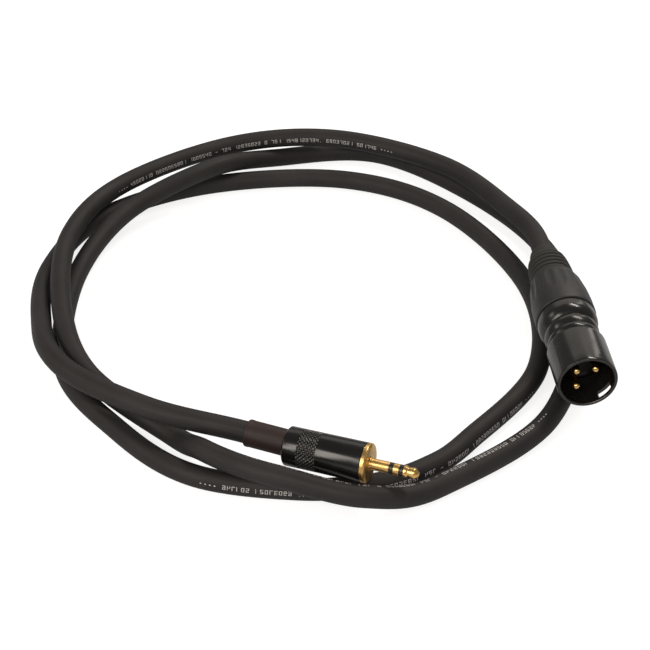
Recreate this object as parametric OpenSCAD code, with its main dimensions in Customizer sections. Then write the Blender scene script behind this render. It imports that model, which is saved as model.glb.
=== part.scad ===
// Balanced microphone lead laid in loose loops: a three-pin XLR plug at one end and a
// 3.5 mm stereo plug at the other. Millimetres. The lead lies on the floor, z = 0, with the
// origin under the middle of its box, and the XLR plug faces -Y.

/* [Cable] */
// Outside diameter of the cable's jacket
cable_d = 6.8; // [6.4:0.1:7.2]
// Diameter over the spiral screen, where the jacket is stripped
screen_d = 4.6; // [4:0.1:5]
// Diameter of one insulated core
core_d = 1.5; // [1.2:0.1:1.7]
// Diameter of the twisted screen tail
drain_d = 0.9; // [0.6:0.1:1.1]
// Bare length of screen in front of the cut jacket
screen_show = 0.8; // [0.5:0.1:1.2]

/* [XLR shell] */
// Outside diameter of the shell's cup
shell_d = 19; // [18.6:0.1:19.2]
// Wall of the cup
cup_wall = 1.1; // [0.9:0.05:1.3]
// Depth of the cup, from its face to the shoulder that stops the insert
cup_depth = 14; // [13:0.1:15]
// Length of the plain cylinder in front of the neck
cylinder_len = 17.6; // [17.2:0.1:17.9]
// Rounding of the cylinder's rear edge
shoulder_round = 2; // [1.2:0.1:2.4]
// Diameter of the neck between the beads
neck_d = 16.4; // [16.2:0.1:16.8]
// Bore of the neck, which holds the insert and the bushing's thread
neck_bore = 14.7; // [14.5:0.05:14.9]
// Diameter of the front bead
front_bead_d = 17.2; // [16.9:0.1:17.8]
// Diameter of the rear bead
rear_bead_d = 17.6; // [17:0.1:18.2]
// Width of the front bead
front_bead_w = 2.8; // [2.4:0.1:3]
// Width of the rear bead
rear_bead_w = 4.4; // [4:0.1:4.4]
// Diameter of the shell's rear ring
ring_d = 19.2; // [18.8:0.1:19.6]
// Width of the shell's rear ring, its rounded front included
ring_w = 6; // [5.4:0.1:6]
// Width of the straight part of the rear ring
ring_flat_w = 2.6; // [2:0.1:3.2]
// Full length of the shell
shell_len = 31; // [30.6:0.1:31.6]
// Width of the latch window
window_w = 5.8; // [5:0.1:6.2]
// Length of the latch window along the shell
window_len = 2.7; // [2.4:0.1:3.4]
// Distance of the latch window behind the shell's face
window_set = 1; // [0.8:0.1:1.6]

/* [XLR insert and pins] */
// Diameter of each contact pin
pin_d = 2.4; // [2.2:0.05:2.5]
// Diameter of the circle on which the pins stand
pin_circle_d = 8.4; // [8:0.1:8.6]
// Distance of the pins' tips behind the shell's face
pin_recess = 1.6; // [1.2:0.1:2.6]
// Gap between the insert and the bushing's thread behind it
insert_gap = 0.8; // [0.5:0.1:1.2]
// Distance that the insert's front stands into the cup
insert_proud = 0.6; // [0.3:0.1:1]
// Outside diameter of a solder cup
cup_d = 2.8; // [2.6:0.05:2.9]
// Bore of a solder cup
cup_bore = 1.9; // [1.8:0.05:2]
// Length of a solder cup
cup_len = 4; // [3.4:0.1:4.2]
// Thickness of the shell's ground spring
spring_t = 0.3; // [0.2:0.05:0.35]
// Width of the shell's ground spring
spring_w = 3; // [2.4:0.1:3.4]

/* [XLR bushing, chuck and boot] */
// Largest diameter of the clamping bushing
bushing_d = 19.8; // [19.4:0.1:20.2]
// Length of the bushing behind the shell
bushing_len = 20; // [19.6:0.1:21]
// Diameter of the bushing's rear edge
bushing_rear_d = 15.4; // [15:0.1:16]
// Groove that shows between shell and bushing
bushing_gap = 0.5; // [0.3:0.1:0.8]
// Length of thread that stands in the shell
bushing_thread_len = 6.7; // [6:0.1:6.9]
// Bore of the bushing round the chuck
bushing_bore = 11.6; // [11.5:0.1:12.2]
// Number of shallow grip flutes
flutes = 16; // [10:1:20]
// Depth of the grip flutes at their rear end
flute_depth = 0.35; // [0.2:0.05:0.5]
// Distance of the grip flutes behind the bushing's front edge
flute_set = 7; // [6:0.5:8]
// Full length of the chuck
chuck_len = 15; // [14:0.1:15.6]
// Radial wall of the chuck
chuck_wall = 1.8; // [1.4:0.1:1.8]
// Number of the chuck's fingers
chuck_fingers = 4; // [3:1:6]
// Width of the slots between the fingers
chuck_slot = 1; // [0.6:0.1:1.4]
// Length of the rubber boot behind the bushing
boot_len = 17.7; // [17:0.1:18.6]
// Diameter of the boot next to the bushing
boot_front_d = 15.2; // [14.6:0.1:15.3]
// Diameter of the boot's rear lip
boot_lip_d = 8.4; // [8.2:0.1:9]
// Number of grooves round the boot
boot_grooves = 5; // [3:1:5]
// Depth of the boot's grooves
boot_groove_depth = 0.5; // [0.3:0.05:0.6]
// Gap between the cable and the parts that turn round it
cable_gap = 0.3; // [0.25:0.01:0.32]

/* [Stereo plug] */
// Outside diameter of the barrel
barrel_d = 12; // [11.8:0.1:12.4]
// Length of the barrel
barrel_len = 24.6; // [24:0.1:25]
// Wall of the barrel
barrel_wall = 0.55; // [0.45:0.01:0.6]
// Chamfer of the barrel's rear edge
barrel_chamfer = 0.4; // [0.2:0.05:0.45]
// Length of the barrel's inner thread
barrel_thread_len = 7; // [6:0.1:7.2]
// Diameter of the plug body's thread
plug_thread_d = 9.8; // [9.6:0.1:10]
// Diameter of the gilt flange
flange_d = 12; // [11.8:0.1:12.4]
// Thickness of the gilt flange
flange_t = 1.5; // [1.1:0.1:1.8]
// Diameter of the hub in front of the flange
hub_d = 4.2; // [3.8:0.1:5]
// Length of the hub
hub_len = 0.4; // [0.3:0.1:1]
// Diameter of the plug's shaft
shaft_d = 3.5; // [3.4:0.02:3.6]
// Length of the sleeve contact's shaft
sleeve_contact_len = 5.6; // [5.2:0.1:6]
// Length of the ring contact
ring_contact_len = 1.8; // [1.5:0.1:2.2]
// Length of each insulating ring
insulator_len = 1.3; // [0.9:0.1:1.5]
// Length of the tip contact
tip_len = 4.6; // [4.2:0.1:5]
// Diameter of the tip contact's rod
rod_d = 1; // [0.9:0.05:1.05]
// Radial wall of the nested tubes inside the shaft
tube_wall = 0.25; // [0.2:0.01:0.27]
// Thickness of the solder lugs
lug_t = 0.3; // [0.2:0.05:0.35]
// Wall of the clear liner
liner_wall = 0.25; // [0.15:0.01:0.3]
// Wall of the cable clamp's band
clamp_wall = 0.4; // [0.3:0.05:0.5]
// Width of the cable clamp's band
clamp_w = 2.2; // [1.8:0.1:2.4]
// Outside diameter of the strain sleeve on the cable
sleeve_d = 8.2; // [8:0.1:8.3]
// Length of the strain sleeve that shows behind the barrel
sleeve_show = 13; // [10:0.5:14]

/* [Placement] */
// Side position of the XLR plug's axis
xlr_x = 81.5; // [81:0.1:82]
// Position of the XLR plug's face along Y
xlr_face_y = -65; // [-65.5:0.1:-64.5]
// Air that is left between parts that lie on each other
rest_gap = 0.3; // [0.2:0.05:0.4]
// Position of the stereo plug's barrel end along X
plug_x = -11.7; // [-12.1:0.1:-11.3]
// Position of the stereo plug's barrel end along Y
plug_y = -79.9; // [-80.3:0.1:-79.5]
// Lift of the stereo plug onto the strand that it lies on
plug_lift = 5.4; // [5.2:0.1:5.8]
// Heading of the stereo plug, from +X
plug_heading = -26.8; // [-27.4:0.1:-26.2]
// Lift of the stereo plug's tip above level
plug_tilt = 3.5; // [3.3:0.1:3.7]
// Rise of the cable behind the plug's clamp, from the plug's axis
lead_rise = 3; // [2.6:0.1:3.1]

/* [Hidden] */
// Route of the cable from the boot to the strain sleeve: x, y and lift above the lying height
route = [
    [75, 41, 10], [57, 75, 7.5], [18, 95, 9], [-22, 95, 8],
    [-63, 72, 7], [-81, 38, 8], [-82, -4, 7.5], [-72, -39, 6.5],
    [-46, -63, 0], [-36, -79, 7], [-17, -91.5, 7.5], [9, -99.7, 4.6],
    [33, -92, 0], [70, -66, 0], [88, -22, 0], [88, 25, 0],
    [67, 66, 0], [34, 97, 0], [-4, 95, 1.5], [-32, 76, 9],
    [-62, 57, 4], [-79, 24, 0], [-81, -26, 0], [-63, -59, 0],
    [-41, -81, 0], [-10, -90, 0], [13, -90, 0], [30, -84, 0],
    [44, -73, 0], [72, -40, 0], [77, 6, 0], [56, 54, 0.5],
    [21, 79, 0], [-30, 80, 0], [-70, 62, 0], [-88, 30, 0.5],
    [-89, -6, 5], [-81, -38, 11], [-54, -61, 10.5]
];

$fn = 72;
eps = 0.05;                      // overshoot of a cut past the face that it opens
seat = 0.05;                     // gap between parts that are fitted and stay still
run = 0.1;                       // radial clearance of a thread that turns
cable_sides = 10;                // flats round the cable
wire_sides = 8;                  // flats round a core
gilt = [0.86, 0.66, 0.32];
gloss_black = [0.07, 0.07, 0.08];
satin_black = [0.22, 0.21, 0.21];
jacket_grey = [0.2, 0.18, 0.18];

// XLR plug, measured behind the shell's face
cup_r = shell_d / 2 - cup_wall;
front_bead_t = cylinder_len + front_bead_w / 2 + 0.2;
rear_bead_t = front_bead_t + front_bead_w / 2 + rear_bead_w / 2;
insert_r = neck_bore / 2 - seat;
insert_front = cup_depth - insert_proud;
insert_rear = shell_len - bushing_thread_len - insert_gap;
insert_len = insert_rear - insert_front;
cups_rear = insert_rear + cup_len;
thread_r = neck_bore / 2 - run;
bushing_front = shell_len + bushing_gap;
bushing_rear = bushing_front + bushing_len;
bore_r = bushing_bore / 2;
chuck_in_r = cable_d / 2 + cable_gap;
chuck_out_r = chuck_in_r + chuck_wall;
core_spread = 3.5;               // length in which the cores part on their way to the pins
chuck_front = cups_rear + core_spread;
chuck_rear = chuck_front + chuck_len;
chuck_taper = 4.5;               // length of the cone on the chuck's fingers
chuck_tail_r = chuck_in_r + 0.7;
tail_bore_r = chuck_in_r + 0.6;  // bore of the bushing's tail, round the cable
tail_r = tail_bore_r + 0.9;      // outside of the bushing's tail, which carries the boot
tail_len = 7.5;
boot_rear = bushing_rear + boot_len;
jacket_grip = 2.5;               // the jacket is cut this far behind the chuck's front
xlr_jacket_cut = chuck_front + jacket_grip;
straight_out = 5.6;              // straight cable behind the boot, room for it to back out
window_angle = 220;              // the latch window lies opposite pin 3
pin_angles = [-50, 130, 40];     // pins 1, 2 and 3, from -X towards +Z

// Heights: the cable lies cut flat by a tenth of its diameter
lying_z = cable_d / 2 - cable_d / 10;
xlr_z = cable_d + rest_gap + bushing_d / 2;
plug_z = plug_lift + rest_gap + barrel_d / 2;

// Stereo plug, measured ahead of the barrel's rear edge
barrel_r = barrel_d / 2;
barrel_in_r = barrel_r - barrel_wall;
flange_rear = barrel_len + 0.1;
hub_rear = flange_rear + flange_t;
shaft_rear = hub_rear + hub_len;
rear_ring = shaft_rear + sleeve_contact_len;
ring_rear = rear_ring + insulator_len;
front_ring = ring_rear + ring_contact_len;
tip_rear = front_ring + insulator_len;
plug_len = tip_rear + tip_len;
body_rear = flange_rear - barrel_thread_len + 0.2;
shaft_r = shaft_d / 2;
hub_r = hub_d / 2;
rod_r = rod_d / 2;
front_tube_r = rod_r + seat + tube_wall;
ring_tube_r = front_tube_r + seat + tube_wall;
rear_tube_r = ring_tube_r + seat + tube_wall;
body_bore_r = rear_tube_r + seat;
block_r = 3.1;                   // terminal block, set into the body's rear
block_sunk = 1.5;
lug_r = 2.4;                     // ring lug's washer
tip_lug_r = 1.7;
washer_r = 1.9;                  // flange of the front insulator, between the lugs
washer_t = 0.7;
block_rear = body_rear - 2.3;
ring_lug_rear = block_rear - seat - lug_t;
washer_rear = ring_lug_rear - seat - washer_t;
tip_lug_rear = washer_rear - seat - lug_t;
rod_rear = tip_lug_rear - 0.35;
tab_side = core_d + 0.6;         // the lugs' tabs stand this far from the axis
tab_len = 2.6;
tab_w = 1.8;
clamp_point = body_rear - 0.9;   // the cable's line leaves the plug's axis here
plug_jacket_cut = 7;             // from the clamp point, along the cable's line
clamp_at = plug_jacket_cut + 0.3;
sleeve_front = clamp_at + clamp_w + 0.5;
sleeve_rear = clamp_point / cos(lead_rise) + sleeve_show;
lead_end = sleeve_rear + 1;      // the route's last point
clamp_r = cable_d / 2 + seat;
strap_w = 3.2;
liner_set = 3.6;                 // liner's rear edge inside the barrel

// Directions of the plug's axis and of the cable behind it
plug_dir = [
    cos(plug_tilt) * cos(plug_heading),
    cos(plug_tilt) * sin(plug_heading),
    sin(plug_tilt)
];
plug_up = [
    -sin(plug_tilt) * cos(plug_heading),
    -sin(plug_tilt) * sin(plug_heading),
    cos(plug_tilt)
];
lead_dir = -plug_dir * cos(lead_rise) + plug_up * sin(lead_rise);
plug_rear_point = [plug_x, plug_y, plug_z];
lead_start = plug_rear_point + plug_dir * clamp_point;

// ---- Functions of the cable's route ----

function mid_slope(before, after) =
    before * after <= 0 ? 0 :
    min(abs(before + after) / 2, 3 * abs(before), 3 * abs(after)) * sign(before);

// Slope of the curve at route point i; its height has no overshoot
function slope(p, i, first, last) =
    i == 0 ? first * norm(p[1] - p[0]) :
    i == len(p) - 1 ? last * norm(p[i] - p[i - 1]) :
    [
        (p[i + 1][0] - p[i - 1][0]) / 2,
        (p[i + 1][1] - p[i - 1][1]) / 2,
        mid_slope(p[i][2] - p[i - 1][2], p[i + 1][2] - p[i][2])
    ];

// The route's points, with the curve's middle point between each two
function smoothed(p, first, last) = [
    for (i = [0:len(p) - 2])
        for (half = [0, 1])
            half == 0 ? p[i] :
            (p[i] + p[i + 1]) / 2
            + (slope(p, i, first, last) - slope(p, i + 1, first, last)) / 8,
    p[len(p) - 1]
];

function unit(v) = v / norm(v);
function heading_at(path, i) =
    unit(path[min(i + 1, len(path) - 1)] - path[max(i - 1, 0)]);

// Corners of the tube's ring i, none of them below the floor; up is a direction that the
// tube never takes
function ring(path, i, r, sides, up, floor_z) =
    let (
        ahead = heading_at(path, i),
        side = unit(cross(ahead, up)),
        over = cross(side, ahead)
    )
    [
        for (k = [0:sides - 1])
            let (
                a = 360 * k / sides + 90,
                corner = path[i] + r * (cos(a) * side + sin(a) * over)
            )
            [corner[0], corner[1], max(corner[2], floor_z)]
    ];

module tube_along(path, r, sides, up = [1, 0, 0], floor_z = -1000) {
    last = len(path) - 1;
    corners = [for (i = [0:last]) each ring(path, i, r, sides, up, floor_z)];
    wall = [
        for (i = [0:last - 1])
            for (k = [0:sides - 1])
                let (
                    a = i * sides + k,
                    b = i * sides + (k + 1) % sides
                )
                each [[a, a + sides, b], [b, a + sides, b + sides]]
    ];
    start_cap = [for (k = [1:sides - 2]) [0, k, k + 1]];
    end_cap = [for (k = [1:sides - 2]) [0, k + 1, k] + [1, 1, 1] * last * sides];
    polyhedron(points = corners, faces = concat(wall, start_cap, end_cap));
}

// Least distance between the stretches a-b and c-d
function clamp01(v) = max(0, min(1, v));
function stretch_gap(a, b, c, d) =
    let (
        u = b - a,
        v = d - c,
        w = a - c,
        uu = u * u,
        vv = v * v,
        uv = u * v,
        uw = u * w,
        vw = v * w,
        det = uu * vv - uv * uv,
        s0 = det < 0.001 ? 0 : clamp01((uv * vw - vv * uw) / det),
        t = clamp01((uv * s0 + vw) / vv),
        s = clamp01((uv * t - uw) / uu)
    )
    norm(w + s * u - t * v);

cable_first = [xlr_x, xlr_face_y + xlr_jacket_cut, xlr_z];
boot_exit = [xlr_x, xlr_face_y + boot_rear, xlr_z];
free_start = boot_exit + [0, straight_out, 0];
free_end = lead_start + lead_dir * lead_end;
cable_last = lead_start + lead_dir * plug_jacket_cut;
free_points = [
    free_start,
    for (p = route) [p[0], p[1], p[2] + lying_z],
    free_end
];
cable_path = concat(
    [cable_first, boot_exit],
    smoothed(free_points, [0, 1, 0], -lead_dir),
    [cable_last]
);
skip = 4;                        // stretches this near along the cable are neighbours
least_gap = min([
    for (i = [0:len(cable_path) - 2 - skip])
        for (j = [i + skip:len(cable_path) - 2])
            stretch_gap(cable_path[i], cable_path[i + 1], cable_path[j], cable_path[j + 1])
]) - cable_d;
cable_run = [for (i = [1:len(cable_path) - 1]) norm(cable_path[i] - cable_path[i - 1])];
function total(v, i = 0) = i == len(v) ? 0 : v[i] + total(v, i + 1);
union() {
    echo(least_gap_of_cable = least_gap);
    echo(length_of_cable = total(cable_run));
}

// ---- Places of the two plugs ----

// Local z runs back from the shell's face
module at_xlr() {
    translate([xlr_x, xlr_face_y, xlr_z]) rotate([-90, 0, 0]) children();
}

// Local x points away from the axis, at an angle seen from the front
module xlr_turned(angle) {
    rotate([0, 0, angle + 180]) children();
}

// Local z runs from the barrel's rear edge to the tip, and local -x points up
module at_plug() {
    translate(plug_rear_point) rotate([0, 90 - plug_tilt, plug_heading]) children();
}

// Local z runs back from the clamp point along the cable
module at_lead() {
    at_plug() translate([0, 0, clamp_point]) rotate([0, 180 + lead_rise, 0]) children();
}

// A disc or tube between two stations of the axis
module disc(r, from, to) {
    translate([0, 0, from]) cylinder(r = r, h = to - from);
}

module pipe(r, hole_r, from, to) {
    difference() {
        disc(r, from, to);
        disc(hole_r, from - eps, to + eps);
    }
}

// ---- XLR shell ----

// Half-round bead that stands out of the neck
module bead(d, w, at) {
    crown = (d - neck_d) / 2;
    round_r = (pow(w / 2, 2) + crown * crown) / (2 * crown);
    intersection() {
        rotate_extrude() translate([d / 2 - round_r, at]) circle(r = round_r);
        pipe(d, insert_r + seat, at - w / 2, at + w / 2);
    }
}

// Plain cup with a rounded rear edge
module shell_cylinder() {
    edge_r = shell_d / 2;
    rotate_extrude() polygon([
        [0, 0],
        [edge_r - 0.25, 0],
        [edge_r, 0.25],
        for (a = [0:10:90])
            [
                edge_r - shoulder_round * (1 - cos(a)),
                cylinder_len - shoulder_round * (1 - sin(a))
            ],
        [0, cylinder_len]
    ]);
}

// Rear ring: straight at the back, with a long rounded front that runs down to the neck
module rear_ring_of_shell() {
    drop = (ring_d - neck_d) / 2;
    reach = ring_w - ring_flat_w;
    round_r = (reach * reach + drop * drop) / (2 * drop);
    sweep = asin(reach / round_r);
    rotate_extrude() polygon([
        [0, shell_len],
        [ring_d / 2, shell_len],
        for (step = [0:8])
            [
                ring_d / 2 - round_r * (1 - cos(sweep * step / 8)),
                shell_len - ring_flat_w - round_r * sin(sweep * step / 8)
            ],
        [0, shell_len - ring_w]
    ]);
}

module latch_window() {
    xlr_turned(window_angle)
        translate([cup_r - 1, -window_w / 2, window_set])
            cube([cup_wall + 2, window_w, window_len]);
}

module xlr_shell() {
    color(gloss_black) at_xlr() difference() {
        union() {
            shell_cylinder();
            disc(neck_d / 2, cylinder_len - 1, shell_len);
            bead(front_bead_d, front_bead_w, front_bead_t);
            bead(rear_bead_d, rear_bead_w, rear_bead_t);
            rear_ring_of_shell();
        }
        disc(cup_r, -eps, cup_depth);
        disc(neck_bore / 2, cup_depth - eps, shell_len + eps);
        latch_window();
    }
}

// ---- XLR insert, pins and ground spring ----

pin_r = pin_d / 2;
collar_front = insert_front - 0.15;  // a pin's thicker shank stands a little proud of the insert

// One hole or part on the circle of pins
module on_pin_circle(which) {
    xlr_turned(pin_angles[which - 1]) translate([pin_circle_d / 2, 0, 0]) children();
}

spring_out_r = insert_r - 0.1;   // outer face of the ground spring in its slot
spring_front = insert_front + 2;

module spring_slot() {
    xlr_turned(window_angle)
        translate([spring_out_r - spring_t - 0.1, -spring_w / 2 - 0.1, spring_front - 0.1])
            cube([3, spring_w + 0.2, insert_len]);
}

module xlr_insert() {
    color([0.12, 0.12, 0.12]) at_xlr() difference() {
        disc(insert_r, insert_front, insert_rear);
        for (which = [1:3]) on_pin_circle(which)
            disc(cup_d / 2 + seat, insert_front - eps, insert_rear + eps);
        spring_slot();
    }
}

module contact_pin(which) {
    color(gilt) at_xlr() on_pin_circle(which) difference() {
        union() {
            translate([0, 0, pin_recess + pin_r]) sphere(r = pin_r);
            disc(pin_r, pin_recess + pin_r, collar_front + eps);
            disc(cup_d / 2, collar_front, cups_rear);
        }
        disc(cup_bore / 2, insert_rear + 1, cups_rear + eps);
    }
}

module xlr_ground_spring() {
    color(gilt) at_xlr() xlr_turned(window_angle)
        translate([spring_out_r - spring_t, -spring_w / 2, spring_front])
            cube([spring_t, spring_w, insert_rear + 0.4 - spring_front]);
}

solder_t = 0.8;
core_r = core_d / 2;
drain_r = drain_d / 2;
wire_end = insert_rear + 1 + seat + solder_t;

module xlr_solder() {
    color([0.75, 0.76, 0.78]) at_xlr() for (which = [1:3]) on_pin_circle(which)
        disc(cup_bore / 2 - seat, insert_rear + 1 + seat, wire_end - seat);
}

// Path of a core from the screen's end, at a radius and an angle, into a pin's cup
screen_front = xlr_jacket_cut - screen_show;
function on_axis(angle, r, t) = [-cos(angle) * r, -sin(angle) * r, t];
function core_path(angle, from_r) = [
    on_axis(angle, from_r, screen_front - seat),
    on_axis(angle, from_r, screen_front - 1),
    on_axis(angle, (from_r + pin_circle_d / 2) / 2, cups_rear + 2.2),
    on_axis(angle, pin_circle_d / 2, cups_rear + 0.6),
    on_axis(angle, pin_circle_d / 2, wire_end)
];

module xlr_core(which, r) {
    at_xlr() tube_along(core_path(pin_angles[which - 1], core_r + 0.45), r, wire_sides);
}

module xlr_core_hot() {
    color([0.75, 0.12, 0.1]) xlr_core(2, core_r);
}

module xlr_core_cold() {
    color([0.85, 0.85, 0.82]) xlr_core(3, core_r);
}

module xlr_screen_tail() {
    color([0.72, 0.45, 0.3]) xlr_core(1, drain_r);
}

// ---- XLR chuck, bushing and boot ----

module xlr_chuck() {
    color([0.16, 0.16, 0.17]) at_xlr() difference() {
        union() {
            disc(bore_r - run, chuck_front, chuck_front + 1.5);
            disc(chuck_out_r, chuck_front, chuck_rear - chuck_taper);
            translate([0, 0, chuck_rear - chuck_taper])
                cylinder(r1 = chuck_out_r, r2 = chuck_tail_r, h = chuck_taper);
        }
        disc(chuck_in_r, chuck_front - eps, chuck_rear + eps);
        for (finger = [0:chuck_fingers - 1])
            rotate([0, 0, 360 * finger / chuck_fingers])
                translate([0, -chuck_slot / 2, chuck_front + 5])
                    cube([bore_r, chuck_slot, chuck_len]);
    }
}

// Outline of the grip: full at the front, drawn in towards the boot
grip_drawn_in = 1.17;            // where the grip's rear edge starts
grip_taper_len = bushing_len * 0.84;
grip_outline = [
    [0, bushing_front],
    [bushing_d / 2, bushing_front],
    [bushing_d / 2, bushing_front + bushing_len * 0.26],
    [bushing_d / 2 - 0.25, bushing_front + bushing_len * 0.5],
    [bushing_d / 2 - 0.83, bushing_front + bushing_len * 0.71],
    [bushing_d / 2 - grip_drawn_in, bushing_front + grip_taper_len],
    [bushing_rear_d / 2, bushing_rear],
    [0, bushing_rear]
];
flute_r = 4;
flute_start_in = 0.12;           // the grip is drawn in this far where the flutes start
flute_lean = atan(
    (grip_drawn_in - flute_start_in + flute_depth) / (grip_taper_len - flute_set)
);

module grip_flutes() {
    for (k = [0:flutes - 1])
        rotate([0, 0, 360 * k / flutes])
            translate([bushing_d / 2 + flute_r - flute_start_in, 0, bushing_front + flute_set])
                rotate([0, -flute_lean, 0])
                    cylinder(r = flute_r, h = bushing_len);
}

module xlr_bushing() {
    color(satin_black) at_xlr() difference() {
        union() {
            disc(thread_r, shell_len - bushing_thread_len, bushing_front + 1);
            difference() {
                rotate_extrude() polygon(grip_outline);
                grip_flutes();
            }
            disc(tail_r, bushing_rear - 1, bushing_rear + tail_len);
        }
        disc(bore_r, shell_len - bushing_thread_len - eps, chuck_rear - chuck_taper);
        translate([0, 0, chuck_rear - chuck_taper - eps])
            cylinder(
                r1 = bore_r,
                r2 = chuck_tail_r + bore_r - chuck_out_r,
                h = chuck_taper + 2 * eps
            );
        disc(tail_bore_r, chuck_rear, bushing_rear + tail_len + eps);
    }
}

boot_outline = [
    [0, bushing_rear + seat],
    [boot_front_d / 2, bushing_rear + seat],
    [boot_front_d / 2 - 0.3, bushing_rear + boot_len * 0.28],
    [boot_front_d / 2 - 0.6, bushing_rear + boot_len * 0.48],
    [boot_front_d / 2 - 1, bushing_rear + boot_len * 0.62],
    [boot_lip_d / 2 + 1.3, bushing_rear + boot_len * 0.73],
    [boot_lip_d / 2 + 1, bushing_rear + boot_len * 0.79],
    [boot_lip_d / 2 + 0.7, bushing_rear + boot_len * 0.92],
    [boot_lip_d / 2, boot_rear],
    [0, boot_rear]
];
boot_groove_w = 0.9;
boot_groove_step = boot_len / 8.2;
boot_groove_set = 1.6;           // the first groove's distance behind the bushing
boot_flank = 0.07;               // the boot's flank comes in by this much a millimetre

module xlr_boot() {
    color([0.21, 0.2, 0.18]) at_xlr() difference() {
        rotate_extrude() polygon(boot_outline);
        disc(tail_r + seat, bushing_rear - eps, bushing_rear + tail_len + 0.1);
        disc(cable_d / 2 + cable_gap, bushing_rear + tail_len, boot_rear + eps);
        for (k = [0:boot_grooves - 1])
            let (
                at = bushing_rear + boot_groove_set + boot_groove_step * k,
                wall_r = boot_front_d / 2 - 0.2 - boot_flank * boot_groove_step * k
            )
            pipe(boot_front_d, wall_r - boot_groove_depth, at, at + boot_groove_w);
    }
}

// ---- Cable ----

module cable_jacket() {
    color(jacket_grey) tube_along(cable_path, cable_d / 2, cable_sides, [0, 0, 1], 0);
}

module cable_screen_ends() {
    color([0.72, 0.45, 0.3]) {
        at_xlr() disc(screen_d / 2, screen_front, xlr_jacket_cut - seat);
        at_lead() disc(screen_d / 2, plug_jacket_cut - screen_show, plug_jacket_cut - seat);
    }
}

// ---- Stereo plug ----

module plug_barrel() {
    color(gloss_black) at_plug() difference() {
        rotate_extrude() polygon([
            [0, 0],
            [barrel_r - barrel_chamfer, 0],
            [barrel_r, barrel_chamfer],
            [barrel_r, barrel_len],
            [0, barrel_len]
        ]);
        disc(barrel_in_r, -eps, barrel_len - barrel_thread_len);
        disc(plug_thread_d / 2 + run, -eps, barrel_len + eps);
    }
}

module plug_liner() {
    liner_r = barrel_in_r - run;
    color([0.8, 0.82, 0.84, 0.5]) at_plug()
        pipe(liner_r, liner_r - liner_wall, liner_set, barrel_len - barrel_thread_len - 0.4);
}

module plug_strain_sleeve() {
    color([0.24, 0.2, 0.19]) at_lead()
        pipe(sleeve_d / 2, cable_d / 2 + seat, sleeve_front, sleeve_rear);
}

// Stamped clamp: a washer on the plug's body, a strap, and a band round the cable
strap_r = 4.3;
clamp_foot_w = 2;                // width of the fold between the band and the strap
module plug_cable_clamp() {
    band_at = clamp_point - clamp_at - clamp_w;
    color(gilt) {
        at_plug() difference() {
            union() {
                pipe(strap_r, block_r + seat, body_rear - 0.4 - seat, body_rear - seat);
                translate([strap_r - 0.4, -strap_w / 2, band_at])
                    cube([0.4, strap_w, body_rear - seat - band_at]);
                translate([clamp_r - 0.6, -clamp_foot_w / 2, band_at + 0.1])
                    cube([strap_r - clamp_r + 0.6, clamp_foot_w, clamp_w - 0.2]);
            }
            translate([0, 0, clamp_point]) rotate([0, 180 + lead_rise, 0])
                disc(clamp_r, clamp_at - 2, clamp_at + clamp_w + 2);
        }
        at_lead() difference() {
            pipe(clamp_r + clamp_wall, clamp_r, clamp_at, clamp_at + clamp_w);
            translate([0, -0.5, clamp_at - eps])
                cube([2 * clamp_r, 1, clamp_w + 2 * eps]);
        }
    }
}

// A core inside the plug, from the screen's end to its lug's tab, in the plug's frame
lead_screen = plug_jacket_cut - screen_show - seat;
plug_wire_start = clamp_point - lead_screen * cos(lead_rise);
plug_wire_end = tip_lug_rear - 0.9;
function plug_core_path(side) = [
    [-lead_screen * sin(lead_rise), side * (core_r + 0.4), plug_wire_start],
    [-0.2, side * (core_r + 0.5), plug_wire_start + 0.8],
    [0, side * (tab_side - core_r - seat), plug_wire_end - 0.6],
    [0, side * (tab_side - core_r - seat), plug_wire_end]
];

module plug_core_hot() {
    color([0.75, 0.12, 0.1]) at_plug() tube_along(plug_core_path(-1), core_r, wire_sides);
}

module plug_core_cold() {
    color([0.85, 0.85, 0.82]) at_plug() tube_along(plug_core_path(1), core_r, wire_sides);
}

module plug_screen_tail() {
    color([0.72, 0.45, 0.3]) at_plug() tube_along(
        [
            [1.4, 0, plug_wire_start + 0.1],
            [1.8, 0, plug_wire_start + 0.9],
            [strap_r - 0.4 - drain_r - seat, 0, plug_wire_start + 2.4],
            [strap_r - 0.4 - drain_r - seat, 0, plug_wire_start + 3.6]
        ],
        drain_r, wire_sides
    );
}

module plug_solder() {
    color([0.75, 0.76, 0.78]) at_plug() for (side = [-1, 1])
        translate([0, side * (tab_side - core_r - seat), 0])
            disc(core_r, plug_wire_end + seat, plug_wire_end + 0.5);
}

// Washer with an arm and a tab that runs back beside the core
module solder_lug(r, hole_r, rear, side) {
    color(gilt) at_plug() difference() {
        union() {
            disc(r, rear, rear + lug_t);
            translate([-tab_w / 2, side > 0 ? 0 : -tab_side - lug_t, rear])
                cube([tab_w, tab_side + lug_t, lug_t]);
            translate([-tab_w / 2, side > 0 ? tab_side : -tab_side - lug_t, plug_wire_end - 1.2])
                cube([tab_w, lug_t, rear + lug_t - plug_wire_end + 1.2]);
        }
        disc(hole_r, rear - eps, rear + lug_t + eps);
    }
}

module plug_tip_lug() {
    solder_lug(tip_lug_r, rod_r + seat, tip_lug_rear, -1);
}

module plug_ring_lug() {
    solder_lug(lug_r, ring_tube_r + seat, ring_lug_rear, 1);
}

module plug_terminal_block() {
    color([0.9, 0.88, 0.8]) at_plug()
        pipe(block_r, rear_tube_r + seat, block_rear, body_rear + block_sunk - seat);
}

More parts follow.
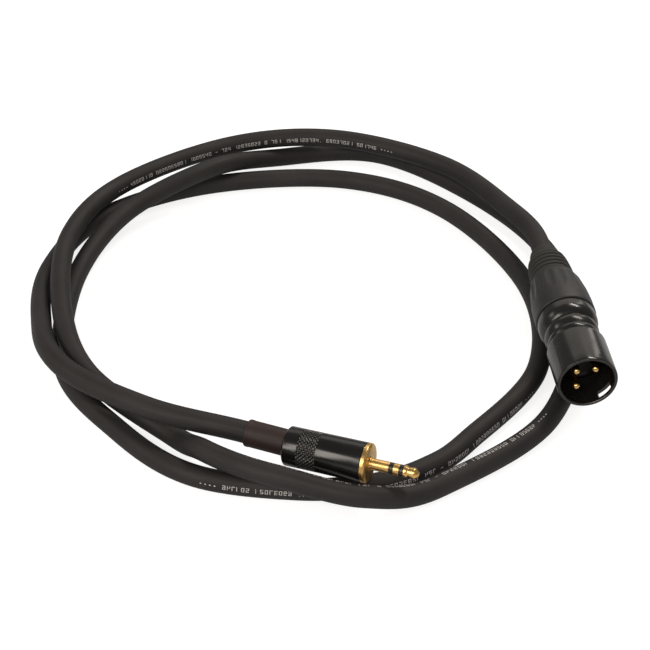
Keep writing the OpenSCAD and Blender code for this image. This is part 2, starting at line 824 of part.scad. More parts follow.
// Rod with a waisted, pointed head
module plug_tip_contact() {
    color(gilt) at_plug() {
        disc(rod_r, rod_rear + 0.3, tip_rear + 0.5);
        disc(rod_r + 0.4, rod_rear, tip_lug_rear - seat);
        rotate_extrude() polygon([
            [0, tip_rear],
            [shaft_r, tip_rear],
            [shaft_r, tip_rear + tip_len * 0.2],
            [shaft_r * 0.8, tip_rear + tip_len * 0.27],
            [shaft_r * 0.95, tip_rear + tip_len * 0.72],
            [shaft_r * 0.34, plug_len],
            [0, plug_len]
        ]);
    }
}

module plug_front_insulator() {
    color([0.1, 0.1, 0.1]) at_plug() difference() {
        union() {
            disc(washer_r, washer_rear, washer_rear + washer_t);
            disc(front_tube_r, washer_rear, tip_rear - seat);
            disc(shaft_r, front_ring + seat, tip_rear - seat);
        }
        disc(rod_r + seat, washer_rear - eps, tip_rear + eps);
    }
}

module plug_ring_contact() {
    color(gilt) at_plug() difference() {
        union() {
            disc(ring_tube_r, ring_lug_rear, front_ring);
            disc(shaft_r, ring_rear, front_ring);
        }
        disc(front_tube_r + seat, ring_lug_rear - eps, front_ring + eps);
    }
}

module plug_rear_insulator() {
    color([0.1, 0.1, 0.1]) at_plug() difference() {
        union() {
            disc(rear_tube_r, block_rear, ring_rear - seat);
            disc(shaft_r, rear_ring + seat, ring_rear - seat);
        }
        disc(ring_tube_r + seat, block_rear - eps, ring_rear + eps);
    }
}

module plug_sleeve_contact() {
    color(gilt) at_plug() difference() {
        union() {
            disc(plug_thread_d / 2, body_rear, flange_rear + eps);
            disc(flange_d / 2, flange_rear, hub_rear);
            disc(hub_r, hub_rear - eps, shaft_rear);
            disc(shaft_r, shaft_rear - eps, rear_ring);
        }
        disc(body_bore_r, body_rear - eps, rear_ring + eps);
        disc(block_r + seat, body_rear - eps, body_rear + block_sunk);
    }
}

xlr_shell();
xlr_insert();
contact_pin(1);  // xlr_pin_1
contact_pin(2);  // xlr_pin_2
contact_pin(3);  // xlr_pin_3
xlr_ground_spring();
xlr_solder();
xlr_core_hot();
xlr_core_cold();
xlr_screen_tail();
xlr_chuck();
xlr_bushing();
xlr_boot();
cable_jacket();
cable_screen_ends();
plug_barrel();
plug_liner();
plug_strain_sleeve();
plug_cable_clamp();
plug_core_hot();
plug_core_cold();
plug_screen_tail();
plug_solder();
plug_tip_lug();
plug_ring_lug();
plug_terminal_block();
plug_tip_contact();
plug_front_insulator();
plug_ring_contact();
plug_rear_insulator();
plug_sleeve_contact();
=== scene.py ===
import math

import bmesh
import bpy
from mathutils import Matrix, Vector


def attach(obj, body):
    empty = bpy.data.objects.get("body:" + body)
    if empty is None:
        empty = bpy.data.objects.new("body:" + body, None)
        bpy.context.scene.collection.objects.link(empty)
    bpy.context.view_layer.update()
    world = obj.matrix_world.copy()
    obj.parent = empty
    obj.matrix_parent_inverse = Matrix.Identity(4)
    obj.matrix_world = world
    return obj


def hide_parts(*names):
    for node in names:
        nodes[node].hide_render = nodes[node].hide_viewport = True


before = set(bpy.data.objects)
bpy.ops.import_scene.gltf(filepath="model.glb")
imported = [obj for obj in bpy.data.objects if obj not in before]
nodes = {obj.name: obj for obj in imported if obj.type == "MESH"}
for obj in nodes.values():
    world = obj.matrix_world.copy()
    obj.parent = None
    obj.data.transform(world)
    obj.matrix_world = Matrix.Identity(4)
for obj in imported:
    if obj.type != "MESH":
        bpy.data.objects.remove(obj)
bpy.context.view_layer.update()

# ---- Camera ----
# A long lens looks down on the lead from in front of its stereo plug.
camera_data = bpy.data.cameras.new("camera")
camera_data.sensor_width = 36
camera_data.lens = 86.79
camera = bpy.data.objects.new("camera", camera_data)
camera.location = (-0.030875, -0.427752, 0.323)
camera.rotation_euler = (math.radians(52.6), 0, math.radians(-4.96))
bpy.context.scene.collection.objects.link(camera)
bpy.context.scene.camera = camera

# ---- Cable ----
# Two insulated cores and a spiral screen under one round jacket of soft PVC.
# The jacket is extruded, so it is matt and even, with faint marks along its length.
MM = 0.001
cable_r = 3.4
xlr_x, xlr_face_y, xlr_z = 81.5, -65.0, 17.0
boot_end = 69.2
straight_out = 5.6
jacket_cut_at_xlr = 33.5
plug_rear = Vector((-11.7, -79.9, 11.7))
plug_heading = math.radians(-26.8)
plug_tilt = math.radians(3.5)
lead_rise = math.radians(3)
clamp_point = 17.0
jacket_cut_at_plug = 7.0
sleeve_show = 13
strain_sleeve_end = clamp_point / math.cos(lead_rise) + sleeve_show
route = [
    (75, 41, 10), (57, 75, 7.5), (18, 95, 9), (-22, 95, 8),
    (-63, 72, 7), (-81, 38, 8), (-82, -4, 7.5), (-72, -39, 6.5),
    (-46, -63, 0), (-36, -79, 7), (-17, -91.5, 7.5), (9, -99.7, 4.6),
    (33, -92, 0), (70, -66, 0), (88, -22, 0), (88, 25, 0),
    (67, 66, 0), (34, 97, 0), (-4, 95, 1.5), (-32, 76, 9),
    (-62, 57, 4), (-79, 24, 0), (-81, -26, 0), (-63, -59, 0),
    (-41, -81, 0), (-10, -90, 0), (13, -90, 0), (30, -84, 0),
    (44, -73, 0), (72, -40, 0), (77, 6, 0), (56, 54, 0.5),
    (21, 79, 0), (-30, 80, 0), (-70, 62, 0), (-88, 30, 0.5),
    (-89, -6, 5), (-81, -38, 11), (-54, -61, 10.5),
]

in_millimetres = Matrix.Diagonal((MM, MM, MM, 1))
at_xlr = (
    in_millimetres
    @ Matrix.Translation((xlr_x, xlr_face_y, xlr_z))
    @ Matrix.Rotation(math.radians(-90), 4, "X")
)
at_plug = (
    in_millimetres
    @ Matrix.Translation(plug_rear)
    @ Matrix.Rotation(plug_heading, 4, "Z")
    @ Matrix.Rotation(math.radians(90) - plug_tilt, 4, "Y")
)
at_lead = (
    at_plug
    @ Matrix.Translation((0, 0, clamp_point))
    @ Matrix.Rotation(math.radians(180) + lead_rise, 4, "Y")
)


def linear(hex_colour):
    """The linear colour of an sRGB hex value."""
    parts = [int(hex_colour[i:i + 2], 16) / 255 for i in (1, 3, 5)]
    return [p / 12.92 if p <= 0.04045 else ((p + 0.055) / 1.055) ** 2.4 for p in parts] + [1]


def add(tree, kind, links=None, **settings):
    """Adds a node; a setting is a property of it, and a link or value goes to a named input."""
    new = tree.nodes.new(kind)
    for name, value in settings.items():
        setattr(new, name, value)
    for name, value in (links or {}).items():
        if isinstance(value, bpy.types.NodeSocket):
            tree.links.new(value, new.inputs[name])
        else:
            new.inputs[name].default_value = value
    return new


def new_material(name):
    """An empty material and its node tree."""
    material = bpy.data.materials.new(name)
    material.use_nodes = True
    material.node_tree.nodes.clear()
    return material, material.node_tree


def soft_pvc(name, hex_colour, hex_worn, roughness):
    """Extruded flexible PVC: matt, with a fine grain and faint lines along the cable."""
    material, tree = new_material(name)
    uv = add(tree, "ShaderNodeUVMap", uv_map="along_and_around")
    stretched = add(tree, "ShaderNodeMapping", {"Vector": uv.outputs[0], "Scale": (0.06, 1.4, 1)})
    lines = add(tree, "ShaderNodeTexNoise",
                {"Vector": stretched.outputs[0], "Scale": 1.0, "Detail": 3.0})
    place = add(tree, "ShaderNodeTexCoord")
    grain = add(tree, "ShaderNodeTexNoise",
                {"Vector": place.outputs["Object"], "Scale": 2200.0, "Detail": 2.0})
    patches = add(tree, "ShaderNodeTexNoise",
                  {"Vector": place.outputs["Object"], "Scale": 60.0, "Detail": 4.0})
    wear = add(tree, "ShaderNodeMapRange",
               {"Value": patches.outputs["Fac"], "From Min": 0.42, "From Max": 0.72})
    colour = add(tree, "ShaderNodeMix", data_type="RGBA")
    colour.inputs["A"].default_value = linear(hex_colour)
    colour.inputs["B"].default_value = linear(hex_worn)
    tree.links.new(wear.outputs["Result"], colour.inputs["Factor"])
    rough = add(tree, "ShaderNodeMapRange",
                {"Value": lines.outputs["Fac"], "From Min": 0.3, "From Max": 0.7,
                 "To Min": roughness - 0.06, "To Max": roughness + 0.06})
    fine = add(tree, "ShaderNodeBump",
               {"Height": grain.outputs["Fac"], "Strength": 0.35, "Distance": 0.00005})
    bump = add(tree, "ShaderNodeBump",
               {"Height": lines.outputs["Fac"], "Strength": 0.25, "Distance": 0.0001,
                "Normal": fine.outputs[0]})
    shader = add(tree, "ShaderNodeBsdfPrincipled",
                 {"Base Color": colour.outputs["Result"], "Roughness": rough.outputs["Result"],
                  "Normal": bump.outputs[0], "IOR": 1.4})
    add(tree, "ShaderNodeOutputMaterial", {"Surface": shader.outputs[0]})
    return material


def height_slope(before, after):
    """The route's slope in height at a point, held low enough that it never overshoots."""
    if before * after <= 0:
        return 0
    return math.copysign(min(abs(before + after) / 2, 3 * abs(before), 3 * abs(after)), before)


def smooth_path(points, first, last, step=2.0):
    """Points a step apart on the curve through the route, with a direction at each of its ends."""
    slopes = [first * (points[1] - points[0]).length]
    for before, here, after in zip(points, points[1:], points[2:]):
        slopes.append(Vector((
            (after.x - before.x) / 2,
            (after.y - before.y) / 2,
            height_slope(here.z - before.z, after.z - here.z),
        )))
    slopes.append(last * (points[-1] - points[-2]).length)
    path = []
    for i in range(len(points) - 1):
        count = max(2, math.ceil((points[i + 1] - points[i]).length / step))
        for k in range(count):
            t = k / count
            path.append(
                points[i] * (2 * t ** 3 - 3 * t ** 2 + 1)
                + slopes[i] * (t ** 3 - 2 * t ** 2 + t)
                + points[i + 1] * (3 * t ** 2 - 2 * t ** 3)
                + slopes[i + 1] * (t ** 3 - t ** 2)
            )
    return path + [points[-1]]


# The last of the rings in the XLR plug lies 0.3 mm past the boot's end, so that the tube folds
# back by as much at the boot's mouth.
rings_in_xlr, ring_step_in_xlr = 13, 3
rings_in_plug, ring_step_in_plug = 10, 2
sleeve_gap = 1
lead_start = at_lead.translation / MM
lead_dir = (at_lead.to_3x3() @ Vector((0, 0, 1))).normalized()
boot_exit = Vector((xlr_x, xlr_face_y + boot_end, xlr_z))
free_points = (
    [boot_exit + Vector((0, straight_out, 0))]
    + [Vector((x, y, lift + cable_r)) for x, y, lift in route]
    + [lead_start + lead_dir * (strain_sleeve_end + sleeve_gap)]
)
cable_path = (
    [Vector((xlr_x, xlr_face_y + jacket_cut_at_xlr + k * ring_step_in_xlr, xlr_z))
     for k in range(rings_in_xlr)]
    + [boot_exit]
    + smooth_path(free_points, Vector((0, 1, 0)), -lead_dir)
    + [lead_start + lead_dir * (strain_sleeve_end - ring_step_in_plug * k)
       for k in range(1, rings_in_plug + 1)]
    + [lead_start + lead_dir * jacket_cut_at_plug]
)
cable_at = [0.0]
for before, after in zip(cable_path, cable_path[1:]):
    cable_at.append(cable_at[-1] + (after - before).length)


def cable_frame(i):
    """The cable's direction at point i of its path, a level one across it, and its upper side."""
    ahead = (cable_path[min(i + 1, len(cable_path) - 1)] - cable_path[max(i - 1, 0)]).normalized()
    across = ahead.cross(Vector((0, 0, 1))).normalized()
    return ahead, across, across.cross(ahead)


def on_cable(i, angle, radius):
    """A point round the cable, at an angle from its upper side."""
    ahead, across, over = cable_frame(i)
    return (cable_path[i] + radius * (math.cos(angle) * over + math.sin(angle) * across)) * MM


def new_piece(bm, name, material, body, smooth_under=38):
    """Makes an object of the mesh, smooth where its faces meet at less than an angle."""
    mesh = bpy.data.meshes.new(name)
    bm.to_mesh(mesh)
    bm.free()
    mesh.materials.append(material)
    mesh.shade_smooth()
    mesh.set_sharp_from_angle(angle=math.radians(smooth_under))
    piece = bpy.data.objects.new(name, mesh)
    bpy.context.scene.collection.objects.link(piece)
    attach(piece, body)
    return piece


cable_sides = 40
bm = bmesh.new()
bmesh.ops.create_grid(bm, x_segments=len(cable_path) - 1, y_segments=cable_sides, size=0.5)
uv = bm.loops.layers.uv.new("along_and_around")
for face in bm.faces:
    for loop in face.loops:
        step = round((loop.vert.co.x + 0.5) * (len(cable_path) - 1))
        loop[uv].uv = (cable_at[step], (loop.vert.co.y + 0.5) * 2 * math.pi * cable_r)
for vert in bm.verts:
    step = round((vert.co.x + 0.5) * (len(cable_path) - 1))
    vert.co = on_cable(step, math.pi + 2 * math.pi * (vert.co.y + 0.5), cable_r)
bmesh.ops.remove_doubles(bm, verts=bm.verts, dist=0.00001)
bmesh.ops.holes_fill(bm, edges=[e for e in bm.edges if e.is_boundary])
bmesh.ops.recalc_face_normals(bm, faces=bm.faces)
jacket = new_piece(
    bm, "cable_jacket_tube", soft_pvc("charcoal_soft_pvc", "#1d1a1a", "#242121", 0.64),
    "root",
)
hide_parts("cable_jacket")

# ---- Print on the jacket ----
# Three lines of plain numbers, stamped on the jacket in pale grey ink with a worn, patchy edge.
# Each stroke is a thin patch of ink that lies on the round of the jacket.
digit_strokes = {
    "0": "abcdef", "1": "bc", "2": "abged", "3": "abgcd", "4": "fgbc", "5": "afgcd",
    "6": "afgedc", "7": "abc", "8": "abcdefg", "9": "gfabcd", "-": "g", ".": "h", "*": "i",
}
stroke_boxes = {
    "a": (0, 1.7, 1, 2), "b": (0.75, 1, 1, 2), "c": (0.75, 0, 1, 1), "d": (0, 0, 1, 0.3),
    "e": (0, 0, 0.25, 1), "f": (0, 1, 0.25, 2), "g": (0, 0.86, 1, 1.14), "h": (0.35, 0, 0.65, 0.3),
    "i": (0.2, 0.75, 0.75, 1.25),
}


def ink_on_pvc(name, hex_colour):
    """Thin stamped ink: matt and pale, with gaps where it has worn off."""
    material, tree = new_material(name)
    place = add(tree, "ShaderNodeTexCoord")
    speck = add(tree, "ShaderNodeTexNoise",
                {"Vector": place.outputs["Object"], "Scale": 2600.0, "Detail": 3.0})
    worn = add(tree, "ShaderNodeMapRange",
               {"Value": speck.outputs["Fac"], "From Min": 0.52, "From Max": 0.75})
    colour = add(tree, "ShaderNodeMix", data_type="RGBA")
    colour.inputs["A"].default_value = linear(hex_colour)
    colour.inputs["B"].default_value = linear("#4a4645")
    tree.links.new(worn.outputs["Result"], colour.inputs["Factor"])
    bump = add(tree, "ShaderNodeBump",
               {"Height": speck.outputs["Fac"], "Strength": 0.2, "Distance": 0.00003})
    shader = add(tree, "ShaderNodeBsdfPrincipled",
                 {"Base Color": colour.outputs["Result"], "Roughness": 0.6,
                  "Normal": bump.outputs[0]})
    add(tree, "ShaderNodeOutputMaterial", {"Surface": shader.outputs[0]})
    return material


def at_length(length):
    """The index of the cable's path at a length from its start, with its fraction."""
    i = next(k for k in range(1, len(cable_at)) if cable_at[k] >= length)
    return i - 1, (length - cable_at[i - 1]) / (cable_at[i] - cable_at[i - 1])


def on_jacket(length, angle, radius):
    """A point on the jacket, at a length along it and an angle from its upper side."""
    i, part = at_length(length)
    return on_cable(i, angle, radius).lerp(on_cable(i + 1, angle, radius), part)


bm = bmesh.new()
numbers = "**** 45020110 0226065801 1009540 - 724 12836022 0 751 1548120734. 69037021 501746 ****"
sign_pitch = 1.38
sign_w = 0.95
sign_half_h = 0.7
ink_lift = 0.02
# Each line's start along the cable in millimetres, its angle from the cable's upper side and
# how that turns in each millimetre, both in degrees, and the way that the signs' tops point.
print_lines = ((251.0, -80, 0, 1), (541.0, -2, 0.35, -1), (1119.0, 74, 0, -1))
for start, first_angle, twist, top in print_lines:
    for index, sign in enumerate(numbers):
        for stroke in digit_strokes.get(sign, ""):
            low_u, low_v, high_u, high_v = stroke_boxes[stroke]
            corners = []
            for v in (low_v, (low_v + high_v) / 2, high_v):
                for u in (low_u, high_u):
                    length = start - sign_pitch * index - sign_w * u
                    angle = math.radians(first_angle - twist * (start - length))
                    angle += (v - 1) * sign_half_h / cable_r * top
                    corners.append(bm.verts.new(on_jacket(length, angle, cable_r + ink_lift)))
            for row in (0, 2):
                bm.faces.new([corners[row + k] for k in (0, 1, 3, 2)])
for face in bm.faces:
    middle = face.calc_center_median()
    near = min(cable_path[::8], key=lambda point: (point * MM - middle).length) * MM
    face.normal_update()
    if face.normal.dot(middle - near) < 0:
        face.normal_flip()
legend = new_piece(bm, "jacket_print", ink_on_pvc("pale_grey_ink", "#a3a09e"),
                   "root")

# ---- Screen ends ----
# The spiral screen of bare copper strands that stands out of the cut jacket at both ends.


def bare_copper(name, hex_colour):
    """Drawn copper strands side by side, bright with a slight tarnish."""
    material, tree = new_material(name)
    place = add(tree, "ShaderNodeTexCoord")
    strands = add(tree, "ShaderNodeTexWave",
                  {"Vector": place.outputs["Object"], "Scale": 900.0, "Distortion": 1.0},
                  bands_direction="DIAGONAL")
    tarnish = add(tree, "ShaderNodeTexNoise",
                  {"Vector": place.outputs["Object"], "Scale": 500.0, "Detail": 4.0})
    colour = add(tree, "ShaderNodeMix", data_type="RGBA")
    colour.inputs["A"].default_value = linear(hex_colour)
    colour.inputs["B"].default_value = linear("#8a5334")
    tree.links.new(tarnish.outputs["Fac"], colour.inputs["Factor"])
    bump = add(tree, "ShaderNodeBump",
               {"Height": strands.outputs["Fac"], "Strength": 0.8, "Distance": 0.0001})
    shader = add(tree, "ShaderNodeBsdfPrincipled",
                 {"Base Color": colour.outputs["Result"], "Metallic": 1.0, "Roughness": 0.32,
                  "Normal": bump.outputs[0]})
    add(tree, "ShaderNodeOutputMaterial", {"Surface": shader.outputs[0]})
    return material


def dress(material, *names):
    """Gives CAD nodes whose shape is right a material."""
    for name in names:
        for place in nodes[name].material_slots:
            place.material = material


copper = bare_copper("bare_copper_strands", "#c47c4e")
dress(copper, "cable_screen_ends", "xlr_screen_tail", "plug_screen_tail")

# ---- XLR shell ----
# A zinc die casting, barrel polished and then coated gloss black. The coat gathers a little
# at its edges and has the faint ripple of sprayed paint.


def gloss_coat(name, hex_colour, roughness, ripple_mm=2.0, ripple=0.12, crest_highlight=None):
    """Sprayed gloss coat on metal with a slight orange-peel ripple, with a painted highlight in a
    paler colour on raised points.
    """
    material, tree = new_material(name)
    place = add(tree, "ShaderNodeTexCoord")
    peel = add(tree, "ShaderNodeTexNoise",
               {"Vector": place.outputs["Object"], "Scale": 1 / (ripple_mm * MM), "Detail": 1.0})
    smudge = add(tree, "ShaderNodeTexNoise",
                 {"Vector": place.outputs["Object"], "Scale": 140.0, "Detail": 5.0})
    rough = add(tree, "ShaderNodeMapRange",
                {"Value": smudge.outputs["Fac"], "From Min": 0.35, "From Max": 0.7,
                 "To Min": roughness * 0.8, "To Max": roughness * 1.35})
    bump = add(tree, "ShaderNodeBump",
               {"Height": peel.outputs["Fac"], "Strength": ripple, "Distance": 0.0001})
    shader = add(tree, "ShaderNodeBsdfPrincipled",
                 {"Base Color": linear(hex_colour), "Roughness": rough.outputs["Result"],
                  "Normal": bump.outputs[0], "IOR": 1.5})
    # Where the attribute raised is set, the base colour turns paler: a painted highlight on raised
    # points.
    if crest_highlight:
        raised = add(tree, "ShaderNodeAttribute", attribute_name="raised")
        colour = add(tree, "ShaderNodeMix", data_type="RGBA")
        colour.inputs["A"].default_value = linear(hex_colour)
        colour.inputs["B"].default_value = linear(crest_highlight)
        tree.links.new(raised.outputs["Fac"], colour.inputs["Factor"])
        tree.links.new(colour.outputs["Result"], shader.inputs["Base Color"])
    add(tree, "ShaderNodeOutputMaterial", {"Surface": shader.outputs[0]})
    return material


def arc(station, radius, round_r, start, end, steps):
    """Outline points on an arc about a centre; angles in degrees, 90 is away from the axis."""
    return [
        (
            station + round_r * math.cos(math.radians(start + (end - start) * k / steps)),
            radius + round_r * math.sin(math.radians(start + (end - start) * k / steps)),
            0,
        )
        for k in range(steps + 1)
    ]


def turned(outline, steps=144, bored=True):
    """A turned mesh from outline points of (station, radius, rounding), in millimetres."""
    bm = bmesh.new()
    corners = [bm.verts.new((radius, 0, station)) for station, radius, _ in outline]
    for a, b in zip(corners, corners[1:]):
        bm.edges.new((a, b))
    if bored:
        bm.edges.new((corners[-1], corners[0]))
    for corner, (_, _, rounding) in zip(corners, outline):
        if rounding:
            bmesh.ops.bevel(bm, geom=[corner], offset=rounding, offset_type="OFFSET", segments=4,
                            profile=0.5, affect="VERTICES", material=-1)
    bmesh.ops.spin(bm, geom=bm.verts[:] + bm.edges[:], cent=(0, 0, 0), axis=(0, 0, 1),
                   dvec=(0, 0, 0), angle=2 * math.pi, steps=steps, use_merge=True)
    bmesh.ops.remove_doubles(bm, verts=bm.verts, dist=0.0005)
    bmesh.ops.recalc_face_normals(bm, faces=bm.faces)
    uv = bm.loops.layers.uv.new("along_and_around")
    widest = max(radius for _, radius, _ in outline)
    for face in bm.faces:
        middle = face.calc_center_median()
        middle_angle = math.atan2(middle.y, middle.x)
        for loop in face.loops:
            turn = math.atan2(loop.vert.co.y, loop.vert.co.x) - middle_angle
            turn = math.atan2(math.sin(turn), math.cos(turn))
            loop[uv].uv = (loop.vert.co.z, (middle_angle + turn) * widest)
    return bm


shell_r = 9.5
cup_r = 8.4
cup_depth = 14.0
cylinder_len = 17.6
shoulder_round = 2.0
neck_r = 8.2
neck_bore_r = 7.35
ring_r = 9.6
ring_w = 6.0
ring_flat_w = 2.6
shell_len = 31.0
window_w = 5.8
window_set = 1.0
window_len = 2.7
window_angle = math.radians(220)
front_bead_r, front_bead_w, front_bead_at = 8.6, 2.8, 19.2
rear_bead_r, rear_bead_w, rear_bead_at = 8.8, 4.4, 22.8
rim_round = 0.15
arc_steps = 10


def bead(crown_r, width, middle):
    """The outline of a half-round bead that stands out of the neck."""
    crown = crown_r - neck_r
    round_r = ((width / 2) ** 2 + crown ** 2) / (2 * crown)
    half = math.degrees(math.asin(width / 2 / round_r))
    return arc(middle, crown_r - round_r, round_r, 90 + half, 90 - half, arc_steps)


ring_drop = ring_r - neck_r
ring_reach = ring_w - ring_flat_w
ring_round = (ring_reach ** 2 + ring_drop ** 2) / (2 * ring_drop)
ring_sweep = math.degrees(math.asin(ring_reach / ring_round))
shell_outline = (
    [(0, cup_r + rim_round, 0), (0, shell_r - 0.1, 0.22)]
    + [(window_set, shell_r, 0), (window_set + window_len, shell_r, 0)]
    + arc(cylinder_len - shoulder_round, shell_r - shoulder_round, shoulder_round,
          90, 15, arc_steps)
    + bead(front_bead_r, front_bead_w, front_bead_at)
    + bead(rear_bead_r, rear_bead_w, rear_bead_at)
    + arc(shell_len - ring_flat_w, ring_r - ring_round, ring_round,
          90 + ring_sweep, 90, arc_steps)
    + [(shell_len, ring_r, 0.35), (shell_len, neck_bore_r, 0)]
    + [(cup_depth, neck_bore_r, 0), (cup_depth, cup_r, 0)]
    + [(window_set + window_len, cup_r, 0), (window_set, cup_r, 0), (rim_round, cup_r, 0)]
)
bm = turned(shell_outline, 180)
# The latch window: its faces go from both sides of the wall, and the hole's sides are bridged.
half_window = window_w / 2 / shell_r
in_window = []
for face in bm.faces:
    middle = face.calc_center_median()
    around = math.atan2(-middle.y, -middle.x) - window_angle
    around = math.atan2(math.sin(around), math.cos(around))
    on_wall = middle.to_2d().length > cup_r - 0.2
    if on_wall and window_set < middle.z < window_set + window_len and abs(around) < half_window:
        in_window.append(face)
bmesh.ops.delete(bm, geom=in_window, context="FACES")
bmesh.ops.bridge_loops(bm, edges=[e for e in bm.edges if e.is_boundary])
bmesh.ops.recalc_face_normals(bm, faces=bm.faces)
bm.transform(at_xlr)
shell_black = gloss_coat("gloss_black_coat_on_zinc", "#161412", 0.22)
shell = new_piece(bm, "xlr_shell_casting", shell_black, "root")
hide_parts("xlr_shell")

# ---- XLR insert ----
# A glass-filled nylon moulding, black and satin, that fills the bottom of the cup.


def moulded(name, hex_colour, roughness, grain_mm=0.12, grain=0.25, variation=0.12):
    """Moulded plastic or rubber: an even colour, a fine spark-eroded grain, faint flow marks."""
    material, tree = new_material(name)
    place = add(tree, "ShaderNodeTexCoord")
    fine = add(tree, "ShaderNodeTexNoise",
               {"Vector": place.outputs["Object"], "Scale": 1 / (grain_mm * MM), "Detail": 2.0})
    flow = add(tree, "ShaderNodeTexNoise",
               {"Vector": place.outputs["Object"], "Scale": 120.0, "Detail": 3.0})
    tone = add(tree, "ShaderNodeMapRange",
               {"Value": flow.outputs["Fac"], "From Min": 0.3, "From Max": 0.7,
                "To Min": 1 - variation, "To Max": 1 + variation})
    colour = add(tree, "ShaderNodeHueSaturation",
                 {"Value": tone.outputs["Result"], "Color": linear(hex_colour)})
    rough = add(tree, "ShaderNodeMapRange",
                {"Value": flow.outputs["Fac"], "From Min": 0.3, "From Max": 0.7,
                 "To Min": roughness - 0.05, "To Max": roughness + 0.05})
    bump = add(tree, "ShaderNodeBump",
               {"Height": fine.outputs["Fac"], "Strength": grain, "Distance": 0.00006})
    shader = add(tree, "ShaderNodeBsdfPrincipled",
                 {"Base Color": colour.outputs["Color"], "Roughness": rough.outputs["Result"],
                  "Normal": bump.outputs[0]})
    add(tree, "ShaderNodeOutputMaterial", {"Surface": shader.outputs[0]})
    return material


dress(moulded("black_glass_filled_nylon", "#161515", 0.5), "xlr_insert")

# ---- XLR pins and ground spring ----
# Turned brass pins with round tips and solder cups, and a stamped spring, all thinly gilt.


def gilt_brass(name, hex_colour, roughness, tool_marks):
    """Gold plating on brass: warm and bright, with fine marks of the lathe or stamping tool."""
    material, tree = new_material(name)
    if tool_marks == "turned":
        uv = add(tree, "ShaderNodeUVMap", uv_map="along_and_around")
        place = add(tree, "ShaderNodeMapping", {"Vector": uv.outputs[0], "Scale": (14.0, 0.02, 1)})
        marks = add(tree, "ShaderNodeTexNoise",
                    {"Vector": place.outputs[0], "Scale": 1.0, "Detail": 2.0})
    else:
        place = add(tree, "ShaderNodeTexCoord")
        marks = add(tree, "ShaderNodeTexNoise",
                    {"Vector": place.outputs["Object"], "Scale": 3000.0, "Detail": 2.0})
    where = add(tree, "ShaderNodeTexCoord")
    film = add(tree, "ShaderNodeTexNoise",
               {"Vector": where.outputs["Object"], "Scale": 350.0, "Detail": 3.0})
    colour = add(tree, "ShaderNodeMix", data_type="RGBA")
    colour.inputs["A"].default_value = linear(hex_colour)
    colour.inputs["B"].default_value = linear("#d0a461")
    tree.links.new(film.outputs["Fac"], colour.inputs["Factor"])
    rough = add(tree, "ShaderNodeMapRange",
                {"Value": film.outputs["Fac"], "From Min": 0.3, "From Max": 0.7,
                 "To Min": roughness * 0.75, "To Max": roughness * 1.3})
    bump = add(tree, "ShaderNodeBump",
               {"Height": marks.outputs["Fac"], "Strength": 0.04, "Distance": 0.00002})
    shader = add(tree, "ShaderNodeBsdfPrincipled",
                 {"Base Color": colour.outputs["Result"], "Metallic": 1.0,
                  "Roughness": rough.outputs["Result"], "Normal": bump.outputs[0]})
    add(tree, "ShaderNodeOutputMaterial", {"Surface": shader.outputs[0]})
    return material


stamped_gilt = gilt_brass("gilt_brass", "#edcb8c", 0.2, "stamped")
dress(stamped_gilt, "xlr_pin_1", "xlr_pin_2", "xlr_pin_3", "xlr_ground_spring")

# ---- Solder ----
# Tin solder, grey and slightly frosted, in the pins' cups and on the stereo plug's lugs.


def tin_solder(name, hex_colour):
    """Solder that has cooled: dull grey metal with a frosted skin."""
    material, tree = new_material(name)
    place = add(tree, "ShaderNodeTexCoord")
    frost = add(tree, "ShaderNodeTexNoise",
                {"Vector": place.outputs["Object"], "Scale": 2500.0, "Detail": 4.0})
    rough = add(tree, "ShaderNodeMapRange",
                {"Value": frost.outputs["Fac"], "To Min": 0.25, "To Max": 0.6})
    bump = add(tree, "ShaderNodeBump",
               {"Height": frost.outputs["Fac"], "Strength": 0.4, "Distance": 0.00005})
    shader = add(tree, "ShaderNodeBsdfPrincipled",
                 {"Base Color": linear(hex_colour), "Metallic": 1.0,
                  "Roughness": rough.outputs["Result"], "Normal": bump.outputs[0]})
    add(tree, "ShaderNodeOutputMaterial", {"Surface": shader.outputs[0]})
    return material


dress(tin_solder("tin_solder", "#b9babd"), "xlr_solder", "plug_solder")

# ---- Cores ----
# The hot core's insulation is red and the cold core's is white, both extruded.
dress(moulded("red_core_insulation", "#a3211b", 0.38, 0.3, 0.15), "xlr_core_hot", "plug_core_hot")
dress(moulded("white_core_insulation", "#dcdad2", 0.38, 0.3, 0.15, 0.04),
      "xlr_core_cold", "plug_core_cold")

# ---- XLR chuck ----
# A slotted collet moulded in dark grey acetal, which the bushing presses onto the cable.
dress(moulded("grey_acetal", "#3a3a3c", 0.42, 0.2, 0.15), "xlr_chuck")

# ---- XLR bushing ----
# A moulded nylon sleeve with a fine matt grain. It screws into the shell, and its grip has
# sixteen shallow flutes that deepen towards the boot.
bushing_front, bushing_rear = 31.5, 51.5
bushing_r = 9.9
flutes = 16
flute_r = 4.0
flute_set = 7.0
flute_start_in = 0.12
flute_end_in = 0.35
grip_drop = 1.17
grip_share = 0.84
flute_lean = math.atan((grip_drop - flute_start_in + flute_end_in)
                       / ((bushing_rear - bushing_front) * grip_share - flute_set))
flute_least_r = 7.5
steps_per_flute = 18
nose_front, nose_r = 24.3, 7.25
tail_len, tail_r = 7.5, 5.2
grip_start, grip_step, grip_steps = 33.5, 0.5, 35


def between(points, station):
    """The radius of a run of (station, radius) points at a station."""
    for (s0, r0), (s1, r1) in zip(points, points[1:]):
        if s0 <= station <= s1:
            return r0 + (r1 - r0) * (station - s0) / (s1 - s0)
    return points[-1][1]


def thread(start, end, pitch, radius, depth):
    """The outline of a thread's ridges, cut inwards from its radius."""
    ridges = []
    for k in range(int((end - start) / pitch)):
        at = start + k * pitch
        ridges += [(at + pitch * part, radius - depth * cut, 0)
                   for part, cut in ((0.15, 0), (0.4, 1), (0.6, 1), (0.85, 0))]
    return ridges


